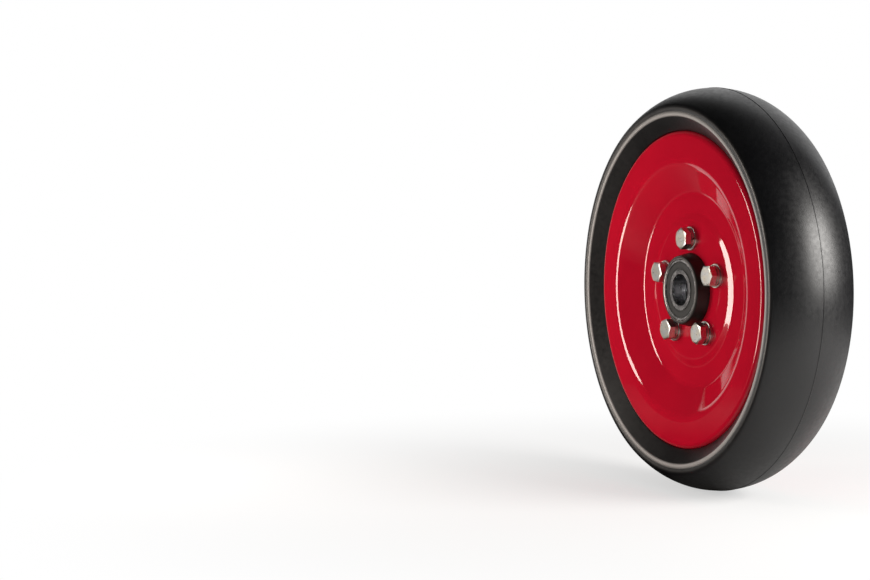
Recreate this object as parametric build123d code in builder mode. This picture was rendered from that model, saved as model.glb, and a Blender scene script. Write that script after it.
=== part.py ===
from build123d import *
from math import asin, atan2, cos, degrees, radians, sin
import os

# Depth wheel of a seed drill or planter: a smooth rubber tyre on two pressed steel discs,
# bolted to a cast hub that turns on two sealed ball bearings. All sizes are in millimetres.
# The origin is the middle of the wheel, the axle runs along Y, and the front looks along -Y.

# Rim: one pressing, used for the front and the rear disc
rim_diameter = 315.0
sheet = 3.0
outer_band = 30.5
valley_width = 20.0
step_run = 7.5
step_fall = 1.8
cone_rise = 18.4
flat_margin = 6.0
step_bend_r = 12.0
cone_foot_r = 10.0
cone_crest_r = 18.0
rim_corner_r = 6.0
skirt_gap = 6.0

# Tyre: solid rubber with a crowned tread, and a raised bead around each side
tyre_height = 42.5
tyre_width = 90.0
crown_r = 65.0
shoulder_r = 6.0
crease_angle = 120.0
bead_r = 1.8
bead_turn = 40.0
toe_depth = 4.0
tongue_height = 4.0
tongue_clearance = 0.2
mould_line_height = 0.35
mould_line_width = 1.4

# Hub: one casting, its middle clamped between the discs
hub_length = 64.0
boss_length = 32.0
boss_diameter = 28.0
arm_width = 20.0
arm_length = 25.0
arm_fillet_r = 5.0
web_thickness = 8.0
spigot_wall = 5.4
spigot_reach = 2.0
spigot_clearance = 0.2
mouth_wall = 3.0
mouth_chamfer = 1.0
bearing_shoulder = 4.0
bearing_recess = 0.5

# Bearings: sealed deep-groove ball bearings, 30 x 62 x 16
bearing_bore = 30.0
bearing_outer = 62.0
bearing_width = 16.0
ring_chamfer = 1.0
ball_diameter = 9.525
ball_count = 9
race_clearance = 0.3
inner_land_drop = 2.85
outer_land_rise = 4.3
seal_thickness = 1.2
seal_recess = 0.6
seal_seat_depth = 0.9
seal_lip_clearance = 0.3
cage_thickness = 4.2
cage_back = 5.5
cage_prong = 3.2
pocket_clearance = 0.2

# Spacer: a sleeve that keeps the inner rings apart on the axle
spacer_wall = 3.75
spacer_clearance = 0.25

# Fasteners: M12 hexagon bolts with plain and spring washers at both ends
bolt_count = 5
bolt_circle = 102.0
bolt_diameter = 12.0
bolt_length = 65.0
bolt_end_chamfer = 1.2
bolt_hole_clearance = 0.5
across_flats = 19.0
head_height = 7.5
nut_height = 10.0
hex_corner_drop = 0.9
thread_clearance = 0.1
turn_per_bolt = 23.0
washer_diameter = 24.0
washer_thickness = 2.5
washer_clearance = 0.5
spring_washer_diameter = 21.1
spring_washer_thickness = 2.5
spring_washer_clearance = 0.1
spring_washer_slit = 1.6
spring_washer_slit_tilt = 20.0

# Sizes that follow from those above
rim_r = rim_diameter / 2
bolt_r = bolt_diameter / 2
bolt_hole_r = bolt_r + bolt_hole_clearance
bolt_circle_r = bolt_circle / 2
bore_r = bearing_bore / 2
bearing_r = bearing_outer / 2
pitch_r = (bore_r + bearing_r) / 2
ball_r = ball_diameter / 2
groove_r = ball_r + race_clearance
inner_land_r = pitch_r - inner_land_drop
outer_land_r = pitch_r + outer_land_rise
seal_seat_r = outer_land_r + seal_seat_depth
spigot_r = bearing_r + spigot_wall
mouth_r = bearing_r + mouth_wall
flat_face = boss_length / 2 + sheet
valley_face = flat_face - step_fall
band_face = valley_face + cone_rise
bearing_outboard = hub_length / 2 - bearing_recess
bearing_centre = bearing_outboard - bearing_width / 2
bearing_inboard = bearing_outboard - bearing_width
washer_stack = flat_face + washer_thickness + spring_washer_thickness
first_bolt_angle = 90.0
first_ball_angle = 90.0

# On these two planes x is the radius and y the distance out from the middle of the wheel.
front_profile = Plane(origin=(0, 0, 0), x_dir=(1, 0, 0), z_dir=(0, 0, -1))
rear_profile = Plane.XY
# These two lie across the axle, and their normals point out of the front and of the rear.
front_face = Plane.XZ
rear_face = Plane(origin=(0, 0, 0), x_dir=(-1, 0, 0), z_dir=(0, 1, 0))


def polar(radius, angle):
    """The step that goes this far at this angle in degrees."""
    return Vector(radius * cos(radians(angle)), radius * sin(radians(angle)))


def save(name, piece):
    """Label a finished piece and write it as its own file."""
    piece.part.label = name
    export_step(piece.part, f"parts/{name}.step")


os.makedirs("parts", exist_ok=True)

# Tyre. The outline runs over one half: tongue, seat on the rim, toe, lip, bead, shoulder, tread.
tread_r = rim_r + tyre_height
crown_centre = Vector(tread_r - crown_r, 0)
shoulder_angle = degrees(asin((tyre_width / 2 - shoulder_r) / (crown_r - shoulder_r)))
shoulder_centre = crown_centre + polar(crown_r - shoulder_r, shoulder_angle)
crease = shoulder_centre + polar(shoulder_r, crease_angle)
bead_centre = crease - polar(bead_r, bead_turn)
toe_centre = Vector(rim_r + bead_r, band_face - toe_depth)
lip_normal = degrees(atan2(bead_centre.Y - toe_centre.Y, bead_centre.X - toe_centre.X)) + 90
tongue_half = skirt_gap / 2 - tongue_clearance
mould_half = mould_line_width / 2
mould_angle = degrees(asin(mould_half / crown_r))

with BuildPart() as tyre:
    with BuildSketch(front_profile):
        with BuildLine():
            Polyline((rim_r - tongue_height, 0), (rim_r - tongue_height, tongue_half),
                     (rim_r, tongue_half), (rim_r, toe_centre.Y))
            toe = CenterArc(toe_centre, bead_r, 180, lip_normal - 180)
            bead = CenterArc(bead_centre, bead_r, lip_normal, bead_turn - lip_normal)
            Line(toe @ 1, bead @ 0)
            CenterArc(shoulder_centre, shoulder_r, crease_angle, shoulder_angle - crease_angle)
            tread = CenterArc(crown_centre, crown_r, shoulder_angle, mould_angle - shoulder_angle)
            Polyline(tread @ 1, (tread_r + mould_line_height, mould_half / 2),
                     (tread_r + mould_line_height, 0))
            mirror(about=Plane.XZ)
        make_face()
    revolve(axis=Axis.Y)
save("tyre", tyre)

# Discs. The path follows the outer surface of the sheet from the hub hole to the skirt's end:
# raised centre flat, step down, valley, cone up, outer band, rounded corner, skirt under the tyre.
hub_hole_r = spigot_r + spigot_clearance
flat_end_r = bolt_circle_r + washer_diameter / 2 + flat_margin
valley_start_r = flat_end_r + step_run
cone_start_r = valley_start_r + valley_width
band_start_r = rim_r - outer_band

with BuildPart() as front_disc:
    with BuildSketch(front_profile):
        with BuildLine():
            FilletPolyline(
                (hub_hole_r, flat_face), (flat_end_r, flat_face), (valley_start_r, valley_face),
                (cone_start_r, valley_face), (band_start_r, band_face), (rim_r, band_face),
                (rim_r, skirt_gap / 2),
                radius=[step_bend_r, step_bend_r, cone_foot_r, cone_crest_r, rim_corner_r])
            offset(amount=sheet, side=Side.RIGHT)
        make_face()
    revolve(axis=Axis.Y)
    with BuildSketch(front_face):
        with PolarLocations(bolt_circle_r, bolt_count, start_angle=first_bolt_angle):
            Circle(bolt_hole_r)
    extrude(amount=flat_face, mode=Mode.SUBTRACT)
save("front_disc", front_disc)

with BuildPart() as rear_disc:
    mirror(front_disc.part, about=Plane.XZ)
save("rear_disc", rear_disc)

# Hub. A barrel that shows through both discs, five arms with bolt bosses, and a thin web.
with BuildPart() as hub:
    with BuildSketch(front_profile):
        with BuildLine():
            Polyline((0, 0), (spigot_r, 0), (spigot_r, flat_face + spigot_reach),
                     (mouth_r, hub_length / 2 - mouth_chamfer),
                     (mouth_r - mouth_chamfer, hub_length / 2), (0, hub_length / 2), close=True)
        make_face()
        mirror(about=Plane.XZ)
    revolve(axis=Axis.Y)
    with BuildSketch(front_face) as star:
        Circle(spigot_r)
        with PolarLocations(bolt_circle_r / 2, bolt_count, start_angle=first_bolt_angle):
            Rectangle(bolt_circle_r, arm_width)
        with PolarLocations(bolt_circle_r, bolt_count, start_angle=first_bolt_angle):
            Circle(boss_diameter / 2)
        fillet(star.vertices(), arm_fillet_r)
    extrude(amount=arm_length / 2, both=True)
    with BuildSketch(front_face):
        Circle(bolt_circle_r)
    extrude(amount=web_thickness / 2, both=True)
    with BuildSketch(front_face):
        with PolarLocations(bolt_circle_r, bolt_count, start_angle=first_bolt_angle):
            Circle(boss_diameter / 2)
    extrude(amount=boss_length / 2, both=True)
    with BuildSketch(front_face):
        with PolarLocations(bolt_circle_r, bolt_count, start_angle=first_bolt_angle):
            Circle(bolt_hole_r)
    extrude(amount=boss_length / 2, both=True, mode=Mode.SUBTRACT)
    with BuildSketch(front_face):
        Circle(bearing_r - bearing_shoulder)
    extrude(amount=hub_length / 2, both=True, mode=Mode.SUBTRACT)
    for face_plane in (front_face, rear_face):
        with BuildSketch(face_plane.offset(bearing_inboard)):
            Circle(bearing_r)
        extrude(amount=hub_length / 2 - bearing_inboard, mode=Mode.SUBTRACT)
save("hub", hub)


# Bearings. Every profile is drawn on the plane of its own side of the wheel.
def ring_section(inner, outer, low, high):
    """A rectangle of a ring's section, from one radius to another and one depth to another."""
    with Locations(((inner + outer) / 2, (low + high) / 2)):
        Rectangle(outer - inner, high - low)


def race_groove():
    """Cut the ball's groove into a ring's section."""
    with Locations((pitch_r, bearing_centre)):
        Circle(groove_r, mode=Mode.SUBTRACT)


seal_pocket = seal_recess + seal_thickness
seal_depths = {"outer": bearing_outboard - seal_pocket, "inner": bearing_inboard + seal_recess}

for side, profile, face_plane in (("front", front_profile, front_face),
                                  ("rear", rear_profile, rear_face)):
    with BuildPart() as outer_ring:
        with BuildSketch(profile) as section:
            ring_section(outer_land_r, bearing_r, bearing_inboard, bearing_outboard)
            chamfer(section.vertices().group_by(Axis.X)[-1], ring_chamfer)
            race_groove()
            for pocket in (bearing_inboard, bearing_outboard - seal_pocket):
                with Locations((outer_land_r, pocket + seal_pocket / 2)):
                    Rectangle(2 * seal_seat_depth, seal_pocket, mode=Mode.SUBTRACT)
        revolve(axis=Axis.Y)
    save(f"{side}_bearing_outer_ring", outer_ring)

    with BuildPart() as inner_ring:
        with BuildSketch(profile) as section:
            ring_section(bore_r, inner_land_r, bearing_inboard, bearing_outboard)
            chamfer(section.vertices().group_by(Axis.X)[0], ring_chamfer)
            race_groove()
        revolve(axis=Axis.Y)
    save(f"{side}_bearing_inner_ring", inner_ring)

    with BuildPart(face_plane.offset(bearing_centre)) as balls:
        with PolarLocations(pitch_r, ball_count, start_angle=first_ball_angle):
            Sphere(ball_r)
    save(f"{side}_bearing_balls", balls)

    with BuildPart() as cage:
        with BuildSketch(profile):
            ring_section(pitch_r - cage_thickness / 2, pitch_r + cage_thickness / 2,
                         bearing_centre - cage_back, bearing_centre + cage_prong)
        revolve(axis=Axis.Y)
        with Locations(face_plane.offset(bearing_centre)):
            with PolarLocations(pitch_r, ball_count, start_angle=first_ball_angle):
                Cylinder(ball_r + pocket_clearance, 2 * cage_thickness, rotation=(0, 90, 0),
                         mode=Mode.SUBTRACT)
    save(f"{side}_bearing_cage", cage)

    for place, depth in seal_depths.items():
        with BuildPart() as seal:
            with BuildSketch(profile):
                ring_section(inner_land_r + seal_lip_clearance, seal_seat_r, depth,
                             depth + seal_thickness)
            revolve(axis=Axis.Y)
        save(f"{side}_bearing_{place}_seal", seal)

# Spacer sleeve
with BuildPart() as spacer:
    with BuildSketch(front_face):
        Circle(bore_r + spacer_clearance + spacer_wall)
        Circle(bore_r + spacer_clearance, mode=Mode.SUBTRACT)
    extrude(amount=bearing_inboard, both=True)
save("bearing_spacer", spacer)


# Fasteners. Each blank stands on its seat, the plane XY, and is then set round the bolt circle.
def hexagon(height):
    """A hexagon with the corners of its top turned off, as on a forged head or a nut."""
    corner_r = across_flats / 2 / cos(radians(30))
    with BuildPart() as blank:
        with BuildSketch():
            RegularPolygon(across_flats / 2, 6, major_radius=False)
        extrude(amount=height)
        with BuildSketch(Plane.XZ):
            with BuildLine():
                Polyline((0, 0), (corner_r, 0), (corner_r, height - hex_corner_drop),
                         (across_flats / 2 - hex_corner_drop, height), (0, height), close=True)
            make_face()
        revolve(axis=Axis.Z, mode=Mode.INTERSECT)
    return blank


def washer_ring(diameter, clearance, thickness):
    """A flat ring that a bolt passes through."""
    with BuildPart() as blank:
        with BuildSketch():
            Circle(diameter / 2)
            Circle(bolt_r + clearance, mode=Mode.SUBTRACT)
        extrude(amount=thickness)
    return blank


def set_round(face_plane, depth, blank, turn=0.0):
    """Copies of a blank on the bolt circle, seated this far out from the middle of the wheel."""
    with BuildPart() as group:
        for index in range(bolt_count):
            centre = polar(bolt_circle_r, first_bolt_angle + index * 360 / bolt_count)
            spot = Location((centre.X, centre.Y, depth), (0, 0, turn * index))
            with Locations(face_plane.location * spot):
                add(blank.part)
    return group


with BuildPart() as bolt:
    add(hexagon(head_height).part)
    with BuildSketch():
        Circle(bolt_r)
    extrude(amount=-bolt_length)
    chamfer(bolt.edges().sort_by(Axis.Z)[0], bolt_end_chamfer)

with BuildPart() as nut:
    add(hexagon(nut_height).part)
    Hole(bolt_r + thread_clearance)

washer = washer_ring(washer_diameter, washer_clearance, washer_thickness)

with BuildPart() as spring_washer:
    add(washer_ring(spring_washer_diameter, spring_washer_clearance,
                    spring_washer_thickness).part)
    slit_centre = (spring_washer_diameter / 2, 0, spring_washer_thickness / 2)
    with Locations(Location(slit_centre, (spring_washer_slit_tilt, 0, 0))):
        Box(spring_washer_diameter, spring_washer_slit, 3 * spring_washer_thickness,
            mode=Mode.SUBTRACT)

save("wheel_bolts", set_round(front_face, washer_stack, bolt, turn_per_bolt))
save("wheel_nuts", set_round(rear_face, washer_stack, nut, turn_per_bolt))
for side, face_plane in (("front", front_face), ("rear", rear_face)):
    save(f"{side}_washers", set_round(face_plane, flat_face, washer))
    save(f"{side}_spring_washers",
         set_round(face_plane, flat_face + washer_thickness, spring_washer, turn_per_bolt))
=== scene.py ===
# %% [markdown]
# A depth wheel from a seed drill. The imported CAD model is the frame: it holds every piece at its
# real size. This lesson gives each piece the surface that the real one has, and lights it as
# goods are lit for a catalogue. Lengths are metres, as everywhere in Blender, and a value that
# a workshop would give in millimetres is written as a number times MM.

# %% Open the frame
from math import acos, asin, atan, atan2, ceil, cos, degrees, pi, radians, sin, sqrt, tan

import bmesh
import bpy
from mathutils import Matrix, Vector


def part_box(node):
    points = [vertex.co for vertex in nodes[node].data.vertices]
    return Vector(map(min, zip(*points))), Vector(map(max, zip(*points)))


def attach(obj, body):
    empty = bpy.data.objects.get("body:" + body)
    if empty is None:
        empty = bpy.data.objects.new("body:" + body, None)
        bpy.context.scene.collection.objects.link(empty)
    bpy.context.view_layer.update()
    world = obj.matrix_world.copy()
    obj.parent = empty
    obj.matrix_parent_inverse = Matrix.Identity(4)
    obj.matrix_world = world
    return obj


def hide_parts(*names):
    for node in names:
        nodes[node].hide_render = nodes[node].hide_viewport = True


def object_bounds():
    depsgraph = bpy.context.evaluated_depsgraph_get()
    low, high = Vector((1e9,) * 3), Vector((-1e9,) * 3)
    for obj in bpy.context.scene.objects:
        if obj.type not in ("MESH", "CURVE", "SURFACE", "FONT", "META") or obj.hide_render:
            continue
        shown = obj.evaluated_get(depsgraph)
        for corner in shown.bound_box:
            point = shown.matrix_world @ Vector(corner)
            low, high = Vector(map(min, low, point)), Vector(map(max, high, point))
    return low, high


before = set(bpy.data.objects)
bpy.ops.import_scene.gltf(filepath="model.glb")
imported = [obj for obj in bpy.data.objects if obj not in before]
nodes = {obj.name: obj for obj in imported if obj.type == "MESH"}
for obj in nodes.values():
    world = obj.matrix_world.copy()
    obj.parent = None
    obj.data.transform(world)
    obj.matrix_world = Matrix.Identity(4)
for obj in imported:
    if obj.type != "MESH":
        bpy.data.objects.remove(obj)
cad_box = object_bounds()
MM = 0.001
print("pieces in the frame:", len(nodes), "size:", [round(v, 4) for v in cad_box[1] - cad_box[0]])

# %% [markdown]
# The camera comes first. It looks at the wheel from its right and a little above, from not quite
# two metres away. The wheel stands right of the middle of the picture, as it does in the
# photograph. It would be easy to slide the picture with the lens shift, but a shift stays when
# the camera goes round the object, so the camera is turned aside instead.

# %% Camera
FRAME_WIDTH = 870
FRAME_HEIGHT = 580
WHEEL_AT = (707.8, 288.2)        # pixel of the wheel's middle
CAMERA_AZIMUTH = 58.9
CAMERA_HEIGHT_DEG = 2.95
CAMERA_DISTANCE = 1.786
FOCAL_PIXELS = 1769.0
SENSOR = 36.0


def direction(azimuth, elevation):
    """The way from the wheel to something at this azimuth and elevation in degrees."""
    a, e = radians(azimuth), radians(elevation)
    return Vector((sin(a) * cos(e), -cos(a) * cos(e), sin(e)))


camera_data = bpy.data.cameras.new("camera")
camera = bpy.data.objects.new("camera", camera_data)
bpy.context.scene.collection.objects.link(camera)
bpy.context.scene.camera = camera
camera_data.sensor_width = SENSOR
camera_data.lens = FOCAL_PIXELS * SENSOR / FRAME_WIDTH
camera.location = direction(CAMERA_AZIMUTH, CAMERA_HEIGHT_DEG) * CAMERA_DISTANCE

aside = atan((WHEEL_AT[0] - FRAME_WIDTH / 2) / FOCAL_PIXELS)
raised = atan((FRAME_HEIGHT / 2 - WHEEL_AT[1]) / FOCAL_PIXELS)
to_wheel = (-camera.location).to_track_quat("-Z", "Y")
turn_aside = Matrix.Rotation(aside, 4, "Z").to_quaternion()
tip_down = Matrix.Rotation(-raised, 4, "X").to_quaternion()
camera.rotation_mode = "QUATERNION"
camera.rotation_quaternion = turn_aside @ to_wheel @ tip_down
print("lens", round(camera_data.lens, 1), "mm, turned aside by", round(degrees(aside), 1), "degrees")

# %% [markdown]
# Two small helpers carry every material. One turns a colour as a screen shows it into the linear
# value that the renderer reckons with. The other adds a node, sets it up and joins it, so that a
# material reads as a list of its nodes.

# %% Colour and node helpers


def linear(hex_colour, alpha=1.0):
    """An sRGB hex colour as linear red, green, blue and alpha."""
    value = hex_colour.lstrip("#")
    channels = [int(value[i:i + 2], 16) / 255 for i in (0, 2, 4)]
    curved = [c / 12.92 if c <= 0.04045 else ((c + 0.055) / 1.055) ** 2.4 for c in channels]
    return (*curved, alpha)


def add_node(tree, kind, inputs=None, **settings):
    """A node with its settings; an input's value is a number, a colour or another node's socket."""
    made = tree.nodes.new(kind)
    for name, value in settings.items():
        setattr(made, name, value)
    for key, value in (inputs or {}).items():
        socket = made.inputs[key]
        if isinstance(value, bpy.types.NodeSocket):
            tree.links.new(value, socket)
        else:
            socket.default_value = value
    return made


def new_material(name):
    """An empty node material with its output, ready for nodes."""
    material = bpy.data.materials.new(name)
    material.use_nodes = True
    tree = material.node_tree
    tree.nodes.clear()
    return material, tree


def finish_material(tree, shader):
    """Join a shader to the material's output."""
    add_node(tree, "ShaderNodeOutputMaterial", {"Surface": shader.outputs[0]})


def object_point(tree):
    """The place on the piece in metres; every object stands unturned at the origin."""
    return add_node(tree, "ShaderNodeTexCoord").outputs["Object"]


# %% [markdown]
# Nearly everything on a wheel is turned, so two patterns are needed again and again: the distance
# from the axle, and a texture that runs round the axle as tool marks and moulding flow do. Both
# come from the place on the piece. The second replaces the place by angle, distance and depth.

# %% Round-the-axle coordinates


def around_axle(tree, turns=1.0):
    """Distance from the axle, and a point whose x is that distance, y the depth, z the angle."""
    place = add_node(tree, "ShaderNodeSeparateXYZ", {0: object_point(tree)})
    flat = add_node(tree, "ShaderNodeCombineXYZ", {0: place.outputs[0], 2: place.outputs[2]})
    radius = add_node(tree, "ShaderNodeVectorMath", {0: flat.outputs[0]}, operation="LENGTH")
    angle = add_node(tree, "ShaderNodeMath", {0: place.outputs[2], 1: place.outputs[0]},
                     operation="ARCTAN2")
    scaled = add_node(tree, "ShaderNodeMath", {0: angle.outputs[0], 1: turns}, operation="MULTIPLY")
    point = add_node(tree, "ShaderNodeCombineXYZ",
                     {0: radius.outputs["Value"], 1: place.outputs[1], 2: scaled.outputs[0]})
    return radius.outputs["Value"], point.outputs[0], place


def noise(tree, point, size, detail=2.0, roughness=0.5):
    """Noise whose blotches are about this size, in metres of the given point."""
    made = add_node(tree, "ShaderNodeTexNoise",
                    {"Vector": point, "Scale": 1.0 / size, "Detail": detail,
                     "Roughness": roughness})
    return made.outputs["Fac"]


def spread(tree, value, low, high, from_low=0.0, from_high=1.0):
    """A value from one range laid onto another."""
    made = add_node(tree, "ShaderNodeMapRange",
                    {"Value": value, "From Min": from_low, "From Max": from_high,
                     "To Min": low, "To Max": high})
    return made.outputs["Result"]


def mix_colours(tree, factor, first, second):
    """Blend two colours, each a value or a socket."""
    made = add_node(tree, "ShaderNodeMix", {0: factor, 6: first, 7: second}, data_type="RGBA")
    return made.outputs[2]


def bump(tree, height, depth, strength=1.0, normal=None):
    """Relief of this depth in metres."""
    inputs = {"Height": height, "Distance": depth, "Strength": strength}
    if normal is not None:
        inputs["Normal"] = normal
    return add_node(tree, "ShaderNodeBump", inputs).outputs["Normal"]


# %% [markdown]
# The tyre is moulded natural rubber filled with carbon black. It comes out of a polished mould
# that has been used many times, so it is smooth but not shiny: a lamp shows in it as a wide soft
# patch. Very fine grain breaks the light up, faint streaks run round the wheel where the rubber
# flowed, and a thin grey bloom lies on it in patches. The bead stands proud at each side, and a
# pale band is painted round its crest: partly wear from sliding over floors, partly a painted
# highlight that stands in for the lamps' reflection along the bead.

# %% Tyre rubber


BEAD_CREST = (173.6 * MM, 44.2 * MM)     # distance from the axle, and from the wheel's middle


def moulded_black_rubber():
    material, tree = new_material("moulded black rubber")
    grain_size = 0.9 * MM            # real grain is under 0.1 mm, drawn coarse enough to show
    point = object_point(tree)
    radius, turned, place = around_axle(tree, turns=0.2)
    bloom = noise(tree, point, 60 * MM, detail=4)
    streaks = noise(tree, turned, 4 * MM, detail=3)
    colour = mix_colours(tree, spread(tree, bloom, 0.0, 1.0, 0.35, 0.7),
                         linear("#08080a"), linear("#0f0f11"))
    across = add_node(tree, "ShaderNodeMath", {0: radius, 1: BEAD_CREST[0]}, operation="SUBTRACT")
    depth = add_node(tree, "ShaderNodeMath", {0: place.outputs[1]}, operation="ABSOLUTE")
    along = add_node(tree, "ShaderNodeMath", {0: depth.outputs[0], 1: BEAD_CREST[1]},
                     operation="SUBTRACT")
    gap = add_node(tree, "ShaderNodeCombineXYZ", {0: across.outputs[0], 1: along.outputs[0]})
    from_crest = add_node(tree, "ShaderNodeVectorMath", {0: gap.outputs[0]}, operation="LENGTH")
    # Pale band round the bead crest: partly wear, partly a painted highlight for the bead's
    # reflection.
    wear_and_painted_highlight = spread(tree, from_crest.outputs["Value"], 0.9, 0.0, 1.3 * MM, 2.9 * MM)
    colour = mix_colours(tree, wear_and_painted_highlight, colour, linear("#a3a09d"))
    rough_base = spread(tree, streaks, 0.30, 0.40, 0.3, 0.7)
    rough = add_node(tree, "ShaderNodeMath",
                     {0: rough_base, 1: spread(tree, bloom, 0.0, 0.07, 0.3, 0.7)},
                     operation="ADD")
    grain = noise(tree, point, grain_size, detail=2)
    normal = bump(tree, grain, 0.03 * MM)
    normal = bump(tree, streaks, 0.05 * MM, normal=normal)
    shader = add_node(tree, "ShaderNodeBsdfPrincipled",
                      {"Base Color": colour, "Roughness": rough.outputs[0], "Normal": normal,
                       "IOR": 1.52})
    finish_material(tree, shader)
    return material


tyre_rubber = moulded_black_rubber()

# %% [markdown]
# The discs are pressed from mild steel sheet and sprayed with red enamel. Under the gloss there
# are two unevennesses. The press leaves slow waves in the sheet, which bend the edges of every
# reflection, and the enamel dries with a skin like orange peel. The pigment gives the colour and
# the clear resin on top gives the gloss, which is what the coat of the shader is for.

# %% Red enamel


def red_enamel():
    material, tree = new_material("red enamel on pressed steel")
    peel_size = 3.0 * MM
    wave_size = 45 * MM
    point = object_point(tree)
    tone = noise(tree, point, 80 * MM, detail=3)
    colour = mix_colours(tree, spread(tree, tone, 0.0, 1.0, 0.3, 0.7),
                         linear("#b40d27"), linear("#be1029"))
    waves = noise(tree, point, wave_size, detail=1)
    peel = noise(tree, point, peel_size, detail=1)
    normal = bump(tree, waves, 0.22 * MM)
    normal = bump(tree, peel, 0.010 * MM, normal=normal)
    shader = add_node(tree, "ShaderNodeBsdfPrincipled",
                      {"Base Color": colour, "Roughness": 0.6, "Specular IOR Level": 0.0,
                       "Coat Weight": 1.0, "Coat Roughness": 0.05, "Coat IOR": 1.5,
                       "Normal": normal, "Coat Normal": normal})
    finish_material(tree, shader)
    return material


red_paint = red_enamel()

# %% [markdown]
# The hub is an iron casting, dipped in black primer and then machined where pieces seat. The
# barrel keeps the grain of the sand mould under the primer. At each end the lathe has cut a
# bright rim. One material serves both, and the place on the piece decides which of the two shows.

# %% Hub casting

hub_low, hub_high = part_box("hub")
ring_low, ring_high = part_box("front_bearing_outer_ring")
hub_half = hub_high.y
bearing_seat_r = ring_high.x
barrel_face_r = bearing_seat_r + 3.0 * MM


def primed_casting():
    material, tree = new_material("black primer on cast iron, turned ends")
    point = object_point(tree)
    radius, turned, place = around_axle(tree)
    bright = spread(tree, radius, 1.0, 0.0, bearing_seat_r + 0.2 * MM, bearing_seat_r + 0.4 * MM)
    sand = noise(tree, point, 1.6 * MM, detail=4)
    lumps = noise(tree, point, 9 * MM, detail=2)
    cutting = noise(tree, turned, 0.35 * MM, detail=1)
    primer = mix_colours(tree, lumps, linear("#120d0c"), linear("#1c1412"))
    colour = mix_colours(tree, bright, primer, linear("#b9b4ae"))
    rough = add_node(tree, "ShaderNodeMix",
                     {0: bright, 2: spread(tree, sand, 0.35, 0.55), 3: 0.3})
    normal = bump(tree, sand, 0.10 * MM)
    normal = bump(tree, lumps, 0.20 * MM, normal=normal)
    painted = add_node(tree, "ShaderNodeBsdfPrincipled",
                       {"Base Color": colour, "Roughness": rough.outputs[0], "Normal": normal,
                        "Metallic": bright})
    finish_material(tree, painted)
    return material


cast_hub = primed_casting()

# %% [markdown]
# Bearing rings are hard chrome steel, ground on a machine that leaves scratches too fine to feel.
# They run round the axle, so the highlight on a ring's face is drawn out into two bright wedges.
# The same steel, polished, makes the balls.

# %% Bearing steel


def ground_steel(name, colour_hex, rough_low, rough_high, groove):
    """Steel with fine scratches round the axle; groove is their depth."""
    material, tree = new_material(name)
    radius, turned, place = around_axle(tree)
    scratches = noise(tree, turned, 0.25 * MM, detail=2)
    stains = noise(tree, object_point(tree), 7 * MM, detail=3)
    dark = linear(colour_hex)
    lighter = tuple(min(1.0, c * 1.15) for c in dark[:3]) + (1.0,)
    shader = add_node(tree, "ShaderNodeBsdfPrincipled",
                      {"Base Color": mix_colours(tree, stains, dark, lighter),
                       "Metallic": 1.0,
                       "Roughness": spread(tree, stains, rough_low, rough_high, 0.3, 0.7),
                       "Normal": bump(tree, scratches, groove)})
    finish_material(tree, shader)
    return material


ring_steel = ground_steel("ground chrome steel", "#c6c6c8", 0.20, 0.30, 0.010 * MM)
ball_steel = ground_steel("polished chrome steel", "#d4d4d6", 0.05, 0.08, 0.0005 * MM)
tube_steel = ground_steel("drawn steel tube", "#9a9a9c", 0.32, 0.45, 0.03 * MM)

# %% [markdown]
# The seal is nitrile rubber moulded onto a thin steel ring. It is matt, a shade greyer than the
# tyre, and has picked up a little grease in patches. The cage is nylon, translucent cream when
# new.

# %% Seal rubber and cage nylon


def nitrile_rubber():
    material, tree = new_material("moulded nitrile rubber")
    point = object_point(tree)
    film = noise(tree, point, 6 * MM, detail=3)
    grain = noise(tree, point, 0.5 * MM)
    shader = add_node(tree, "ShaderNodeBsdfPrincipled",
                      {"Base Color": mix_colours(tree, film, linear("#101211"), linear("#1a1c1b")),
                       "Roughness": spread(tree, film, 0.42, 0.6, 0.3, 0.7),
                       "Normal": bump(tree, grain, 0.02 * MM), "IOR": 1.5})
    finish_material(tree, shader)
    return material


def moulded_nylon():
    material, tree = new_material("moulded nylon")
    grain = noise(tree, object_point(tree), 1.2 * MM)
    shader = add_node(tree, "ShaderNodeBsdfPrincipled",
                      {"Base Color": mix_colours(tree, grain, linear("#cdbf9c"),
                                                 linear("#d8cbaa")),
                       "Roughness": 0.45, "Subsurface Weight": 0.15,
                       "Subsurface Scale": 2 * MM, "Normal": bump(tree, grain, 0.01 * MM)})
    finish_material(tree, shader)
    return material


seal_rubber = nitrile_rubber()
cage_nylon = moulded_nylon()

# %% [markdown]
# Bolts, nuts and washers are forged or punched steel, barrel-plated with zinc and passivated. The
# plating is a little milky, because thousands of pieces rub against each other in the barrel, and
# the passivation adds a breath of blue in one place and of yellow in another.

# %% Zinc plating


def zinc_plating():
    material, tree = new_material("barrel zinc plating")
    point = object_point(tree)
    tint = noise(tree, point, 8 * MM, detail=2)
    rub = noise(tree, point, 1.1 * MM, detail=3)
    hue = mix_colours(tree, spread(tree, tint, 0.0, 1.0, 0.35, 0.65),
                      linear("#d3d7da"), linear("#dcd8ca"))
    colour = mix_colours(tree, spread(tree, rub, 0.0, 0.35, 0.45, 0.75), hue, linear("#a9adad"))
    shader = add_node(tree, "ShaderNodeBsdfPrincipled",
                      {"Base Color": colour, "Metallic": 1.0,
                       "Roughness": spread(tree, rub, 0.26, 0.42, 0.3, 0.7),
                       "Normal": bump(tree, rub, 0.02 * MM)})
    finish_material(tree, shader)
    return material


zinc = zinc_plating()

# %% [markdown]
# A CAD node has one slot for its material, so giving it a finish is one assignment. The nodes
# that nobody sees in a closed wheel are finished too, because the model can be taken apart.

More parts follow.
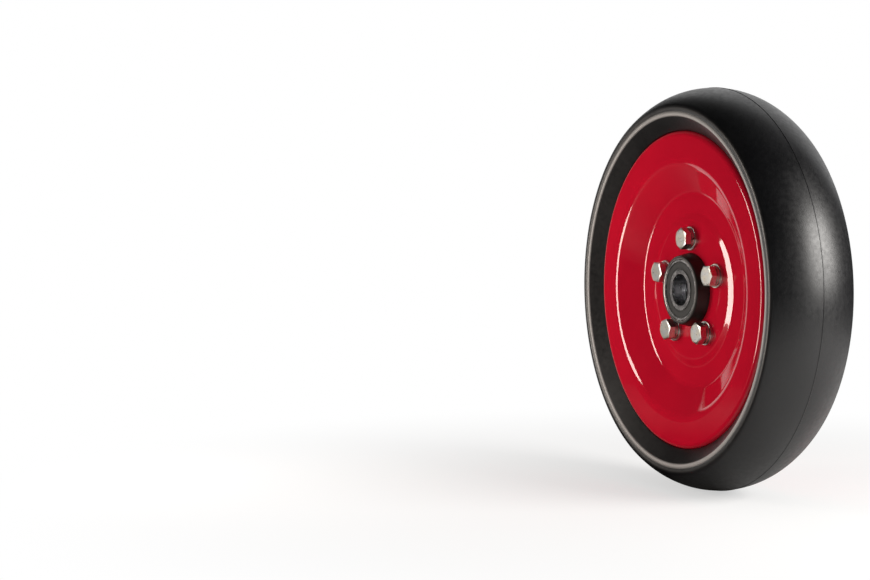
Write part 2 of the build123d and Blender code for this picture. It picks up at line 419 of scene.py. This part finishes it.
# %% Give every CAD node its finish
finishes = {"tyre": tyre_rubber, "disc": red_paint, "hub": cast_hub, "ring": ring_steel,
            "balls": ball_steel, "cage": cage_nylon, "seal": seal_rubber, "spacer": tube_steel,
            "bolts": zinc, "nuts": zinc, "washers": zinc}
for node_name, node in nodes.items():
    last_word = node_name.split("_")[-1]
    node.data.materials.clear()
    node.data.materials.append(finishes[last_word])
print("finished", len(nodes), "CAD nodes")

# %% [markdown]
# Nearly every piece of a wheel is a turned shape: one outline, carried round the axle. An outline
# is drawn here as points on a half plane, where x is the distance from the axle and y the distance
# out from the middle of the wheel. Round stretches are arcs. A long straight stretch gets a point
# close to each end, so that smooth shading bends only at the bend and not all along the flat.

# %% Outline helpers
ARC_STEP = radians(5)
HOLD = 0.4 * MM
LONG_STRETCH = 3.0 * MM


def polar(radius, angle):
    """The step that goes this far at this angle in radians."""
    return Vector((radius * cos(angle), radius * sin(angle)))


def arc(centre, radius, start, end, step=ARC_STEP):
    """Points along an arc, both ends among them; angles in degrees."""
    count = max(2, ceil(abs(radians(end - start)) / step))
    return [centre + polar(radius, radians(start + (end - start) * i / count))
            for i in range(count + 1)]


def with_holds(points):
    """The closed outline with a point near both ends of each long straight stretch."""
    held = []
    for here, there in zip(points, points[1:] + points[:1]):
        held.append(here)
        run = there - here
        if run.length > LONG_STRETCH:
            held.append(here + run.normalized() * HOLD)
            held.append(there - run.normalized() * HOLD)
    return held


def outline_object(name, points):
    """An object that holds a closed outline as a loop of edges."""
    mesh = bpy.data.meshes.new(name)
    edges = [(i, (i + 1) % len(points)) for i in range(len(points))]
    mesh.from_pydata([(p.x, p.y, 0.0) for p in points], edges, [])
    made = bpy.data.objects.new(name, mesh)
    bpy.context.scene.collection.objects.link(made)
    return made


# %% [markdown]
# Geometry Nodes do the turning. The tree takes the outline, makes it a curve and sweeps it round a
# circle with Curve to Mesh, which is what a lathe or a turned mould does. The same tree makes the
# tyre, both discs and the faces of the bearings, so its sizes are inputs. It ends like every tree
# here: edges sharper than a given angle stay sharp, instances become real, and one material is set.

# %% Geometry Nodes helpers
FLOAT, WHOLE = "NodeSocketFloat", "NodeSocketInt"
SHARP_EDGE = radians(15)


def new_tree(name, inputs):
    """An empty Geometry Nodes tree with these inputs, and the sockets that carry them."""
    tree = bpy.data.node_groups.new(name, "GeometryNodeTree")
    tree.interface.new_socket("Geometry", in_out="INPUT", socket_type="NodeSocketGeometry")
    for title, kind in {**inputs, "Sharp Above": FLOAT, "Finish": "NodeSocketMaterial"}.items():
        tree.interface.new_socket(title, in_out="INPUT", socket_type=kind)
    tree.interface.new_socket("Geometry", in_out="OUTPUT", socket_type="NodeSocketGeometry")
    return tree, add_node(tree, "NodeGroupInput").outputs


def finish_tree(tree, given, geometry):
    """Make instances real, keep sharp edges sharp, set the material and hand the result over."""
    real = add_node(tree, "GeometryNodeRealizeInstances", {"Geometry": geometry})
    smooth = add_node(tree, "GeometryNodeSetShadeSmooth",
                      {"Geometry": real.outputs[0], "Shade Smooth": True}, domain="FACE")
    corner = add_node(tree, "GeometryNodeInputMeshEdgeAngle")
    is_sharp = add_node(tree, "FunctionNodeCompare",
                        {0: corner.outputs["Unsigned Angle"], 1: given["Sharp Above"]},
                        data_type="FLOAT", operation="GREATER_THAN")
    edged = add_node(tree, "GeometryNodeSetShadeSmooth",
                     {"Geometry": smooth.outputs[0], "Selection": is_sharp.outputs[0],
                      "Shade Smooth": False}, domain="EDGE")
    dressed = add_node(tree, "GeometryNodeSetMaterial",
                       {"Geometry": edged.outputs[0], "Material": given["Finish"]})
    add_node(tree, "NodeGroupOutput", {0: dressed.outputs[0]})


def run_tree(piece, tree, finish, values):
    """Run a tree on a piece, its inputs set by identifier, and keep the result as a plain mesh."""
    modifier = piece.modifiers.new("shape", "NODES")
    modifier.node_group = tree
    identifiers = {item.name: item.identifier for item in tree.interface.items_tree
                   if item.in_out == "INPUT"}
    for title, value in {**values, "Sharp Above": SHARP_EDGE, "Finish": finish}.items():
        modifier[identifiers[title]] = value
    bpy.context.view_layer.update()
    evaluated = piece.evaluated_get(bpy.context.evaluated_depsgraph_get())
    plain = bpy.data.meshes.new_from_object(evaluated)
    piece.modifiers.clear()
    plain.name = piece.name
    piece.data = plain
    measure = bmesh.new()
    measure.from_mesh(plain)
    triangles = sum(len(face.verts) - 2 for face in measure.faces)
    volume = measure.calc_volume(signed=True) / MM ** 3 / 1000
    measure.free()
    print(f"{piece.name}: {triangles} triangles, {volume:.1f} cubic centimetres")


def stands_for(piece, body, slot, *node_names):
    """The piece rides with its body and is shown instead of these CAD nodes."""
    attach(piece, body)
    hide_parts(*node_names)


# %% Tree that turns an outline round the axle
AXLE_ALONG_Y = (radians(90), 0.0, 0.0)


def turning_tree():
    tree, given = new_tree("turned round the axle", {"Path Radius": FLOAT, "Segments": WHOLE})
    inward = add_node(tree, "ShaderNodeMath", {0: given["Path Radius"], 1: -1.0},
                      operation="MULTIPLY")
    shift = add_node(tree, "ShaderNodeCombineXYZ", {0: inward.outputs[0]})
    outline = add_node(tree, "GeometryNodeMeshToCurve", {"Mesh": given["Geometry"]})
    profile = add_node(tree, "GeometryNodeTransform",
                       {"Geometry": outline.outputs[0], "Translation": shift.outputs[0]})
    path = add_node(tree, "GeometryNodeCurvePrimitiveCircle",
                    {"Resolution": given["Segments"], "Radius": given["Path Radius"]})
    swept = add_node(tree, "GeometryNodeCurveToMesh",
                     {"Curve": path.outputs["Curve"], "Profile Curve": profile.outputs[0]})
    upright = add_node(tree, "GeometryNodeTransform",
                       {"Geometry": swept.outputs[0], "Rotation": AXLE_ALONG_Y})
    finish_tree(tree, given, upright.outputs[0])
    return tree


turning = turning_tree()


def turned(name, points, segments, finish):
    """A piece turned from an outline, given as points of radius and place along Y."""
    area = sum(a.x * b.y - b.x * a.y for a, b in zip(points, points[1:] + points[:1]))
    facing_out = points if area > 0 else points[::-1]
    piece = outline_object(name, with_holds(facing_out))
    mean_radius = sum(p.x for p in points) / len(points)
    run_tree(piece, turning, finish, {"Path Radius": mean_radius, "Segments": segments})
    return piece


# %% [markdown]
# The tyre is one solid moulding. Its tread is crowned, so that soil falls off its edges. A round
# shoulder leads to the side, and there a bead stands up round the rim before the lip slopes down
# to the paint. A tongue in the middle of its inside sits between the two discs and keeps the tyre
# from creeping off. The mould closes on the middle of the tread and leaves a fine line there.

# %% Tyre
tyre_low, tyre_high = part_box("tyre")
disc_low, disc_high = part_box("front_disc")
MOULD_LINE_HEIGHT = 0.35 * MM
MOULD_LINE_WIDTH = 1.4 * MM
TREAD_R = tyre_high.x - MOULD_LINE_HEIGHT
TYRE_HALF_WIDTH = tyre_high.y
RIM_R = disc_high.x
BAND_FACE = -disc_low.y
CROWN_R = 65.0 * MM
SHOULDER_R = 6.0 * MM
BEAD_R = 2.6 * MM
CREASE_ANGLE = 128.0
BEAD_TURN = 40.0
TOE_R = 1.8 * MM
TOE_DEPTH = 4.0 * MM
TONGUE_HEIGHT = 4.0 * MM
TONGUE_HALF = 2.8 * MM
TYRE_SEGMENTS = 288


def tyre_outline():
    """One side of the tyre from the tongue to the mould line, then the same mirrored."""
    crown = Vector((TREAD_R - CROWN_R, 0.0))
    shoulder_angle = degrees(asin((TYRE_HALF_WIDTH - SHOULDER_R) / (CROWN_R - SHOULDER_R)))
    shoulder = crown + polar(CROWN_R - SHOULDER_R, radians(shoulder_angle))
    crease = shoulder + polar(SHOULDER_R, radians(CREASE_ANGLE))
    bead = crease - polar(BEAD_R, radians(BEAD_TURN))
    toe = Vector((RIM_R + TOE_R, BAND_FACE - TOE_DEPTH))
    lip = bead - toe
    lip_normal = degrees(atan2(lip.y, lip.x) + asin((BEAD_R - TOE_R) / lip.length)) + 90
    mould_half = MOULD_LINE_WIDTH / 2
    mould_angle = degrees(asin(mould_half / CROWN_R))
    side = [Vector((RIM_R - TONGUE_HEIGHT, TONGUE_HALF)), Vector((RIM_R, TONGUE_HALF))]
    side += arc(toe, TOE_R, 180, lip_normal)
    side += arc(bead, BEAD_R, lip_normal, BEAD_TURN)
    side += arc(shoulder, SHOULDER_R, CREASE_ANGLE, shoulder_angle)[1:]
    side += arc(crown, CROWN_R, shoulder_angle, mould_angle, radians(2))[1:]
    side.append(Vector((TREAD_R + MOULD_LINE_HEIGHT, mould_half / 2)))
    return side + [Vector((p.x, -p.y)) for p in reversed(side)]


tyre_moulding = turned("tyre_moulding", tyre_outline(), TYRE_SEGMENTS, tyre_rubber)
stands_for(tyre_moulding, "wheel", "tyre_rubber", "tyre")

# %% [markdown]
# Both discs come from the same press tool: a raised flat for the bolts, a step down, a valley, a
# cone up to the outer band, and a skirt turned in under the tyre. A pressing follows its corners
# with even bends, so the outline is a row of corners, each with the radius of its bend. The far
# side of the sheet is the same path, moved in by the thickness.

# %% Discs
disc_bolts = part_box("front_washers")
SHEET = 3.0 * MM
FLAT_FACE = -disc_bolts[1].y
HUB_HOLE_R = 36.6 * MM
BOLT_CIRCLE_R = 51.0 * MM
BOLT_COUNT = 5
BOLT_HOLE_R = 6.5 * MM
FLAT_END_R = BOLT_CIRCLE_R + 18.0 * MM
STEP_RUN = 7.5 * MM
STEP_FALL = 1.8 * MM
VALLEY_WIDTH = 20.0 * MM
OUTER_BAND = 30.5 * MM
SKIRT_END = -disc_high.y
DISC_BENDS = [12.0 * MM, 12.0 * MM, 10.0 * MM, 18.0 * MM, 6.0 * MM]
DISC_SEGMENTS = 288


def bent_sheet(corners, bends, thickness):
    """The closed outline of a sheet whose outer side follows these corners with these bends."""
    outer, inner = [], []
    ends = [(corners[0], corners[1] - corners[0]), (corners[-1], corners[-1] - corners[-2])]
    for place, run in ends[:1]:
        across = Vector((run.y, -run.x)).normalized()
        outer.append(place)
        inner.append(place + across * thickness)
    for before, corner, after, bend in zip(corners, corners[1:], corners[2:], bends):
        into, out_of = (corner - before).normalized(), (after - corner).normalized()
        turn = into.angle_signed(out_of)
        side = -1 if turn > 0 else 1
        reach = bend * tan(abs(turn) / 2)
        centre = corner - into * reach + Vector((-into.y, into.x)) * bend * side
        start = degrees(atan2(*(corner - into * reach - centre).yx))
        for point in arc(centre, bend, start, start - degrees(turn)):
            away = (point - centre) / bend * side
            outer.append(point)
            inner.append(point + away * thickness)
    for place, run in ends[1:]:
        across = Vector((run.y, -run.x)).normalized()
        outer.append(place)
        inner.append(place + across * thickness)
    return outer + inner[::-1]


def disc_outline():
    valley_face = FLAT_FACE - STEP_FALL
    valley_start = FLAT_END_R + STEP_RUN
    corners = [(HUB_HOLE_R, FLAT_FACE), (FLAT_END_R, FLAT_FACE), (valley_start, valley_face),
               (valley_start + VALLEY_WIDTH, valley_face), (RIM_R - OUTER_BAND, BAND_FACE),
               (RIM_R, BAND_FACE), (RIM_R, SKIRT_END)]
    return bent_sheet([Vector(c) for c in corners], DISC_BENDS, SHEET)


def mirrored(points):
    """The outline of the same piece on the other side of the wheel."""
    return [Vector((p.x, -p.y)) for p in points]


rear_pressing = turned("rear_disc_pressing", disc_outline(), DISC_SEGMENTS, red_paint)
front_pressing = turned("front_disc_pressing", mirrored(disc_outline()), DISC_SEGMENTS, red_paint)
stands_for(front_pressing, "wheel", "red_paint", "front_disc")
stands_for(rear_pressing, "wheel", "red_paint", "rear_disc")

# %% [markdown]
# The bearings are sealed. What shows of one is the ground face of its outer ring, the face of its
# inner ring, and between them a seal: rubber moulded on a steel washer, thick in the middle, thin
# at the lip that rubs on the inner ring, with a groove beside it. It is turned with the same tree.

# %% Bearing seals
SEAL_EDGE_ROUND = 0.25 * MM
SEAL_STEP = 0.3 * MM
SEAL_LIP_WIDTH = 1.3 * MM
SEAL_RIM_WIDTH = 1.0 * MM
SEAL_SEGMENTS = 128


def seal_outline(name):
    """A seal's section: a thin rim, a thicker middle and a thin lip; y runs as it does in the node."""
    low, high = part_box(name)
    lip_r = min(v.co.xz.length for v in nodes[name].data.vertices)
    seat_r = high.x
    face, back = (high.y, low.y) if high.y > 0 else (low.y, high.y)
    inward = SEAL_STEP if back > face else -SEAL_STEP
    points = [(lip_r, back), (lip_r, face + inward), (lip_r + SEAL_LIP_WIDTH, face + inward),
              (lip_r + SEAL_LIP_WIDTH + SEAL_STEP, face),
              (seat_r - SEAL_RIM_WIDTH - SEAL_STEP, face),
              (seat_r - SEAL_RIM_WIDTH, face + inward), (seat_r, face + inward), (seat_r, back)]
    return [Vector(p) for p in points]


for side in ("front", "rear"):
    node_name = f"{side}_bearing_outer_seal"
    seal = turned(f"{side}_moulded_seal", seal_outline(node_name), SEAL_SEGMENTS, seal_rubber)
    stands_for(seal, "wheel", "seal_rubber", node_name)

# %% [markdown]
# Five bolts clamp the discs to the hub. Each fastener is made once, standing on its seat with its
# axis up, as rings of points with a skin between them. A second tree sets copies of it round the
# bolt circle, each turned a little further than the last, because nobody stops a spanner at the
# same place twice.

# %% Tree that sets a fastener round the bolt circle


def bolt_circle_tree():
    tree, given = new_tree("set round the bolt circle",
                           {"Count": WHOLE, "Circle Radius": FLOAT, "Seat": FLOAT,
                            "First Angle": FLOAT, "Turn Each": FLOAT, "Half Turn": FLOAT})
    circle = add_node(tree, "GeometryNodeMeshCircle",
                      {"Vertices": given["Count"], "Radius": given["Circle Radius"]})
    start = add_node(tree, "ShaderNodeCombineXYZ", {2: given["First Angle"]})
    raised = add_node(tree, "ShaderNodeCombineXYZ", {2: given["Seat"]})
    seats = add_node(tree, "GeometryNodeTransform",
                     {"Geometry": circle.outputs[0], "Translation": raised.outputs[0],
                      "Rotation": start.outputs[0]})
    index = add_node(tree, "GeometryNodeInputIndex")
    turn = add_node(tree, "ShaderNodeMath", {0: index.outputs[0], 1: given["Turn Each"]},
                    operation="MULTIPLY")
    spin = add_node(tree, "ShaderNodeCombineXYZ", {2: turn.outputs[0]})
    copies = add_node(tree, "GeometryNodeInstanceOnPoints",
                      {"Points": seats.outputs[0], "Instance": given["Geometry"],
                       "Rotation": spin.outputs[0]})
    facing = add_node(tree, "ShaderNodeCombineXYZ", {0: AXLE_ALONG_Y[0], 2: given["Half Turn"]})
    placed = add_node(tree, "GeometryNodeTransform",
                      {"Geometry": copies.outputs[0], "Rotation": facing.outputs[0]})
    finish_tree(tree, given, placed.outputs[0])
    return tree


bolt_circle = bolt_circle_tree()
TURN_PER_BOLT = radians(23)


def set_round(name, blank, side, seat, finish, turn_each=TURN_PER_BOLT):
    """Copies of a blank on the bolt circle of one side, seated this far out."""
    made = bpy.data.objects.new(name, blank)
    bpy.context.scene.collection.objects.link(made)
    run_tree(made, bolt_circle, finish,
             {"Count": BOLT_COUNT, "Circle Radius": BOLT_CIRCLE_R, "Seat": seat,
              "First Angle": radians(90), "Turn Each": turn_each,
              "Half Turn": 0.0 if side == "front" else pi})
    return made


# %% [markdown]
# A hexagon is cut from a bar with its corners rolled off a little, and its top is chamfered in a
# lathe. The cone of the chamfer meets each flat side in a curve, which is what makes a bolt head
# look like one. Each ring of points below asks how far the side is at its angle, and so the curve
# comes out by itself.

# %% Hexagons and skins
ACROSS_FLATS = 19.0 * MM
CORNER_R = 10.85 * MM
CHAMFER_DROP = 0.9 * MM
SIDE_ANGLES = [-30, -27, -20, -10, 0, 10, 20, 27]
RING_ANGLES = [radians(60 * side + 30 + angle) for side in range(6) for angle in SIDE_ANGLES]
FLAT_R = ACROSS_FLATS / 2 - CHAMFER_DROP


def skin(name, rings, closed=False):
    """A mesh with faces between successive rings; a closed skin joins the last to the first."""
    count = len(rings[0])
    points = [tuple(p) for ring in rings for p in ring]
    faces = []
    last = len(rings) if closed else len(rings) - 1
    for r in range(last):
        low, high = r * count, (r + 1) % len(rings) * count
        faces += [(low + i, low + (i + 1) % count, high + (i + 1) % count, high + i)
                  for i in range(count)]
    if not closed:
        faces.append(tuple(reversed(range(count))))
        faces.append(tuple(range((len(rings) - 1) * count, len(rings) * count)))
    mesh = bpy.data.meshes.new(name)
    mesh.from_pydata(points, [], faces)
    return mesh


def ring(radius, height):
    """A ring of points; the radius and the height are numbers or follow from the angle."""
    points = []
    for angle in RING_ANGLES:
        reach = radius(angle) if callable(radius) else radius
        level = height(angle) if callable(height) else height
        points.append((reach * cos(angle), reach * sin(angle), level))
    return points


def hexagon_side(angle):
    """How far the side of the hexagon is from its middle at this angle."""
    from_flat = (angle + radians(30)) % radians(60) - radians(30)
    return min(ACROSS_FLATS / 2 / cos(from_flat - 0.0), CORNER_R)


def chamfered(height, way):
    """The height of the chamfer's edge on the side; way is +1 for the top and -1 for the bottom."""
    slope = CHAMFER_DROP / (CORNER_R - FLAT_R)
    return lambda angle: height - way * slope * (hexagon_side(angle) - FLAT_R)


# %% [markdown]
# The bolt's thread shows only where it stands out behind the nut, but it is cut all the way up to
# the plain shank. Its height at any place follows from one phase: the depth divided by the pitch,
# less the angle as a part of a turn. An M12 thread has a pitch of 1.75 mm.

# %% Bolts and nuts
BOLT_R = 6.0 * MM
BOLT_LENGTH = 65.0 * MM
THREAD_LENGTH = 22.0 * MM
PITCH = 1.75 * MM
THREAD_DEPTH = 0.95 * MM
THREAD_ROWS = 8
END_CHAMFER = 1.2 * MM
HEAD_HEIGHT = 7.5 * MM
NUT_HEIGHT = 10.0 * MM
WASHER_FACE = 0.4 * MM
bolt_low, bolt_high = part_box("wheel_bolts")
HEAD_SEAT = -bolt_low.y - HEAD_HEIGHT
nut_low, nut_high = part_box("wheel_nuts")
NUT_SEAT = nut_low.y


def thread_radius(depth):
    """The radius of the thread this far down the bolt, as a function of the angle."""
    below_end = BOLT_LENGTH - depth
    limit = BOLT_R - max(0.0, END_CHAMFER - below_end)

    def at(angle):
        phase = (depth / PITCH + angle / (2 * pi)) % 1.0
        tooth = min(1.0, max(0.0, abs(2 * phase - 1) * 1.3 - 0.15))
        return min(limit, BOLT_R - THREAD_DEPTH * (1 - tooth))
    return at


def bolt_blank():
    rows = ceil(THREAD_LENGTH / PITCH * THREAD_ROWS)
    thread_start = BOLT_LENGTH - THREAD_LENGTH
    depths = [thread_start + THREAD_LENGTH * i / rows for i in range(rows + 1)]
    rings = [ring(thread_radius(depth), -depth) for depth in reversed(depths)]
    rings += [ring(BOLT_R, -thread_start + THREAD_DEPTH), ring(BOLT_R, 0.0)]
    rings += [ring(FLAT_R, 0.0), ring(FLAT_R, WASHER_FACE), ring(hexagon_side, WASHER_FACE)]
    rings += [ring(hexagon_side, chamfered(HEAD_HEIGHT, 1)), ring(FLAT_R, HEAD_HEIGHT)]
    return skin("bolt blank", rings)


def nut_blank():
    bore = BOLT_R + 0.1 * MM
    mouth = BOLT_R + 0.6 * MM
    rings = [ring(bore, 0.0), ring(bore, NUT_HEIGHT - 0.5 * MM), ring(mouth, NUT_HEIGHT)]
    rings += [ring(FLAT_R, NUT_HEIGHT), ring(hexagon_side, chamfered(NUT_HEIGHT, 1))]
    rings += [ring(hexagon_side, chamfered(0.0, -1)), ring(FLAT_R, 0.0)]
    return skin("nut blank", rings[::-1], closed=True)


bolts = set_round("forged_bolts", bolt_blank(), "front", HEAD_SEAT, zinc)
nuts = set_round("forged_nuts", nut_blank(), "rear", NUT_SEAT, zinc)
stands_for(bolts, "wheel", "zinc_plate", "wheel_bolts")
stands_for(nuts, "wheel", "zinc_plate", "wheel_nuts")

# %% [markdown]
# A plain washer is punched from strip. The punch rounds the edge on one side and leaves it square
# on the other. The spring washer on it is a wire of square section, wound to one turn and cut off
# at a slant, so that its two ends can bite when it is pressed flat.

# %% Washers
WASHER_R = 12.0 * MM
WASHER_HOLE_R = 6.5 * MM
WASHER_THICKNESS = 2.5 * MM
PUNCH_ROUND = 0.5 * MM
SPRING_R = 10.55 * MM
SPRING_HOLE_R = 6.1 * MM
SPRING_THICKNESS = 2.5 * MM
SPRING_ROUND = 0.3 * MM
SLIT = 1.6 * MM
SLIT_SLANT = radians(20)
SPRING_STEPS = 60


def washer_blank():
    top, half = WASHER_THICKNESS, PUNCH_ROUND / 2
    rings = [ring(WASHER_HOLE_R, 0.0), ring(WASHER_HOLE_R, top - half),
             ring(WASHER_HOLE_R + half, top), ring(WASHER_R - PUNCH_ROUND, top),
             ring(WASHER_R - PUNCH_ROUND * 0.3, top - PUNCH_ROUND * 0.3),
             ring(WASHER_R, top - PUNCH_ROUND), ring(WASHER_R, 0.0)]
    return skin("washer blank", rings[::-1], closed=True)


def spring_washer_blank():
    section = []
    for radius, side in ((SPRING_R, -1), (SPRING_HOLE_R, 1)):
        for level, way in ((0.0, 1), (SPRING_THICKNESS, -1)):
            corner = [(radius + side * SPRING_ROUND, level), (radius, level + way * SPRING_ROUND)]
            section += corner if (side < 0) == (way > 0) else corner[::-1]
        if side < 0:
            section = section[:4]
    outer = section[:4]
    inner = [section[6], section[7], section[4], section[5]]
    rings = []
    for step in range(SPRING_STEPS + 1):
        part = 2 * step / SPRING_STEPS - 1
        points = []
        for radius, level in outer + inner:
            slant = (level - SPRING_THICKNESS / 2) * tan(SLIT_SLANT)
            end = pi - (SLIT / 2 - slant * 0) / radius
            angle = part * end + slant / radius
            points.append((-radius * cos(angle - pi) * -1, radius * sin(angle), level))
        rings.append(points)
    return skin("spring washer blank", rings)


for side in ("front", "rear"):
    low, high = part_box(f"{side}_washers")
    seat = min(abs(low.y), abs(high.y))
    plain = set_round(f"{side}_punched_washers", washer_blank(), side, seat, zinc, 0.0)
    sprung = set_round(f"{side}_split_washers", spring_washer_blank(), side,
                       seat + WASHER_THICKNESS, zinc)
    stands_for(plain, "wheel", "zinc_plate", f"{side}_washers")
    stands_for(sprung, "wheel", "zinc_plate", f"{side}_spring_washers")

# %% [markdown]
# The floor is plain white paper. The camera should see it as white as the ground around it, yet
# the wheel's shadow must stay. So the paper is an ordinary pale surface near the wheel and turns
# to plain white light further out, where no shadow reaches. What the wheel's gloss sees of the
# paper is painted: painted light on the side that faces the side box, and painted shade
# elsewhere, darkest near the wheel.

# %% Floor
FLOOR_RADIUS = 1.0
PAPER_NEAR = 0.15
PAPER_FAR = 0.75
PAPER_GLOW = 0.55
SIDE_BOX_AZIMUTH = 120
# Ranges of the painted light and painted shade that reflections see on the paper.
LIT_FROM_TO = (-0.05, 0.15)
GLOSS_NEAR, GLOSS_FAR = 0.01, 0.2
GLOSS_FROM_TO = (0.45, 0.75)
floor_height = cad_box[0].z

floor_mesh = bpy.data.meshes.new("floor")
shape = bmesh.new()
bmesh.ops.create_circle(shape, cap_ends=True, segments=96, radius=FLOOR_RADIUS)
bmesh.ops.translate(shape, vec=(0, 0, floor_height), verts=shape.verts)
shape.to_mesh(floor_mesh)
shape.free()
floor = bpy.data.objects.new("floor", floor_mesh)
bpy.context.scene.collection.objects.link(floor)


def white_paper():
    material, tree = new_material("white paper")
    distance = add_node(tree, "ShaderNodeVectorMath", {0: object_point(tree)}, operation="LENGTH")
    far = add_node(tree, "ShaderNodeMapRange",
                   {"Value": distance.outputs["Value"], "From Min": PAPER_NEAR,
                    "From Max": PAPER_FAR, "To Min": PAPER_GLOW, "To Max": 1.0},
                   interpolation_type="SMOOTHSTEP")
    ray = add_node(tree, "ShaderNodeLightPath")
    seen = add_node(tree, "ShaderNodeMath", {0: ray.outputs["Is Camera Ray"],
                                             1: ray.outputs["Is Transmission Ray"]},
                    operation="MAXIMUM")
    shown = add_node(tree, "ShaderNodeMath", {0: far.outputs["Result"], 1: seen.outputs[0]},
                     operation="MULTIPLY")
    # Reflected paper tone: painted light towards the side box, painted shade elsewhere, darkest near
    # the wheel.
    lit_side = add_node(tree, "ShaderNodeVectorMath",
                        {0: object_point(tree), 1: direction(SIDE_BOX_AZIMUTH, 0)},
                        operation="DOT_PRODUCT")
    lit = spread(tree, lit_side.outputs["Value"], 0.0, 1.0, *LIT_FROM_TO)
    dim = spread(tree, distance.outputs["Value"], GLOSS_NEAR, GLOSS_FAR, *GLOSS_FROM_TO)
    painted_reflected_tone = add_node(tree, "ShaderNodeMix", {0: lit, 2: dim, 3: 0.9})
    tone = mix_colours(tree, ray.outputs["Is Glossy Ray"], linear("#f4f4f4"), painted_reflected_tone.outputs[0])
    paper = add_node(tree, "ShaderNodeBsdfDiffuse", {"Color": tone})
    white = add_node(tree, "ShaderNodeEmission", {"Color": (1, 1, 1, 1), "Strength": 1.0})
    both = add_node(tree, "ShaderNodeMixShader",
                    {0: shown.outputs[0], 1: paper.outputs[0], 2: white.outputs[0]})
    finish_material(tree, both)
    return material


floor.data.materials.append(white_paper())

# %% [markdown]
# Gloss shows what stands round the object, so each lamp is placed for its reflection. A strip
# stands close by on the left: it draws the bright crescent where the disc steps down and the
# thin lines where the sheet bends. A wide box behind the right shoulder makes the soft patch on
# the tread. The strip stands on the floor, because a lamp that hangs high can't be seen in the
# lower half of a dish.

# %% Lamps
FRONT_STRIP = 16.0
SIDE_BOX = 17.0
lamp_rows = [
    # name, azimuth, distance, width, bottom and top above the floor, radiance, colour
    ("left strip", -30, 0.80, 0.16, 0.0, 0.47, FRONT_STRIP, "#fff4ea"),
    ("side box", SIDE_BOX_AZIMUTH, 0.95, 0.62, 0.30, 0.82, SIDE_BOX, "#fffcf8"),
]
for name, azimuth, distance, width, bottom, top, radiance, tint in lamp_rows:
    lamp = bpy.data.lights.new(name, "AREA")
    lamp.shape = "RECTANGLE"
    lamp.size = width
    lamp.size_y = top - bottom
    lamp.color = linear(tint)[:3]
    lamp.energy = radiance * pi * width * (top - bottom)
    box = bpy.data.objects.new(name, lamp)
    bpy.context.scene.collection.objects.link(box)
    box.location = direction(azimuth, 0) * distance
    box.location.z = floor_height + (bottom + top) / 2
    box.rotation_mode = "QUATERNION"
    box.rotation_quaternion = (-direction(azimuth, 0)).to_track_quat("-Z", "Y")
    box.visible_camera = False
print("lamps:", [row[0] for row in lamp_rows])

# %% [markdown]
# The world has three jobs. The camera sees it as plain white, and so does glass. Matt surfaces
# get an even light from it. Gloss sees a white sheet that stands behind the wheel on the left,
# and a dim room everywhere else, which is what keeps the red deep.

# %% World
AMBIENT = 0.30
DIM_ROOM = 0.015
SHEET_EDGE = 5.0
sheets = [
    # azimuth, elevation and half angle of a white sheet, in degrees
    (-100.0, -12.0, 26.0),
    (-135.0, 32.0, 24.0),
]
world = bpy.data.worlds.new("studio")
bpy.context.scene.world = world
world.use_nodes = True
world.cycles.sampling_method = "NONE"
tree = world.node_tree
tree.nodes.clear()
ray = add_node(tree, "ShaderNodeLightPath")
way = add_node(tree, "ShaderNodeTexCoord").outputs["Generated"]
gloss_room = DIM_ROOM
for azimuth, elevation, half_angle in sheets:
    towards = add_node(tree, "ShaderNodeVectorMath", {0: way, 1: direction(azimuth, elevation)},
                       operation="DOT_PRODUCT")
    sheet = add_node(tree, "ShaderNodeMapRange",
                     {"Value": towards.outputs["Value"],
                      "From Min": cos(radians(half_angle + SHEET_EDGE)),
                      "From Max": cos(radians(half_angle)),
                      "To Min": DIM_ROOM, "To Max": 1.0}, interpolation_type="SMOOTHSTEP")
    brighter = add_node(tree, "ShaderNodeMath", {0: gloss_room, 1: sheet.outputs["Result"]},
                        operation="MAXIMUM")
    gloss_room = brighter.outputs[0]
seen_white = add_node(tree, "ShaderNodeMath",
                      {0: ray.outputs["Is Camera Ray"], 1: ray.outputs["Is Transmission Ray"]},
                      operation="MAXIMUM")
room = add_node(tree, "ShaderNodeMix", {0: ray.outputs["Is Glossy Ray"], 2: AMBIENT,
                                       3: gloss_room})
strength = add_node(tree, "ShaderNodeMix", {0: seen_white.outputs[0], 2: room.outputs[0], 3: 1.0})
light = add_node(tree, "ShaderNodeBackground", {"Color": (1, 1, 1, 1),
                                               "Strength": strength.outputs[0]})
add_node(tree, "ShaderNodeOutputWorld", {"Surface": light.outputs[0]})
bpy.context.scene.view_settings.view_transform = "Standard"
